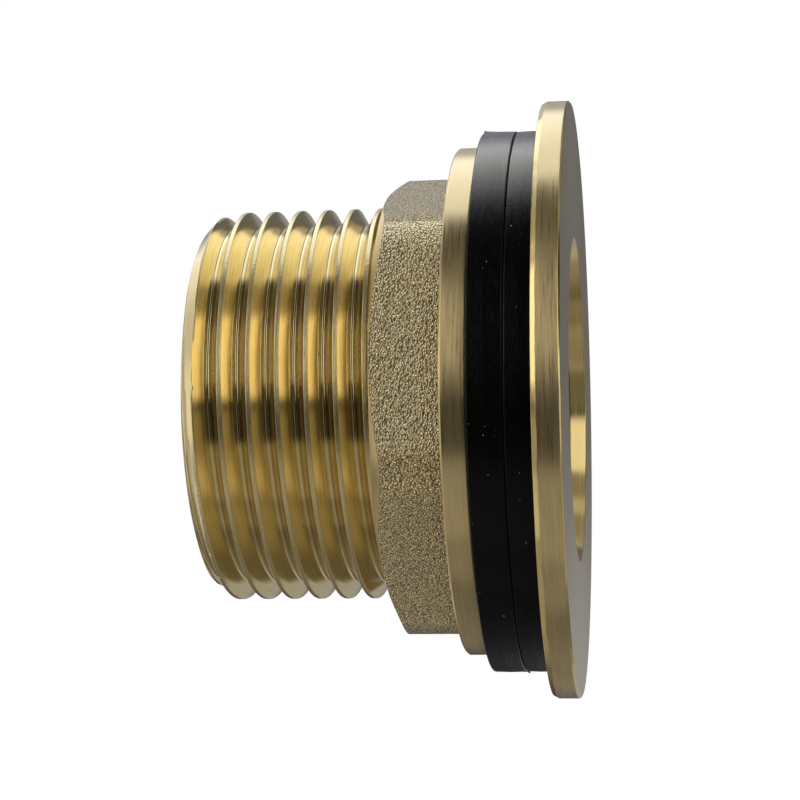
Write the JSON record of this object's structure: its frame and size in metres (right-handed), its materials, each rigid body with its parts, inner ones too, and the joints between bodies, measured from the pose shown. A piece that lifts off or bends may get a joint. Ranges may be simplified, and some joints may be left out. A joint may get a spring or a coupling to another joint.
{
  "type": "tank connector",
  "caption": "Flanged brass tank connector with an outside pipe thread, a flanged hexagon backnut and rubber sealing washers that clamp a tank wall.",
  "frame": {"origin": "centre of the flange's outer face, on the fitting's axis; the fitting stands on that face", "axes": "+Z along the fitting's axis, from the flange to the threaded tail; +X is 14 degrees from one corner of the hexagon"},
  "size_m": [0.05, 0.05, 0.0306],
  "materials": {
    "turned_brass": "turned, satin",
    "black_rubber": "moulded, matt",
    "blasted_brass": "shot-blasted hexagon, turned flange"
  },
  "bodies": {
    "connector": {"connector_body": "turned_brass", "inner_washer": "black_rubber"},
    "washer": {"outer_washer": "black_rubber"},
    "nut": {"backnut": "blasted_brass"}
  },
  "joints": [
    {"name": "nut_travel", "type": "slide", "parent": "connector", "child": "washer", "axis": [0, 0, 1], "range_m": [0, 0.0245]},
    {"name": "nut_turn", "type": "hinge", "parent": "washer", "child": "nut", "pos_m": [0, 0, 0.0115], "axis": [0, 0, 1], "range_deg": [0, 3816]}
  ],
  "couplings": [
    {"joint": "nut_travel", "follows": "nut_turn", "m_per_rad": 0.0003675}
  ]
}
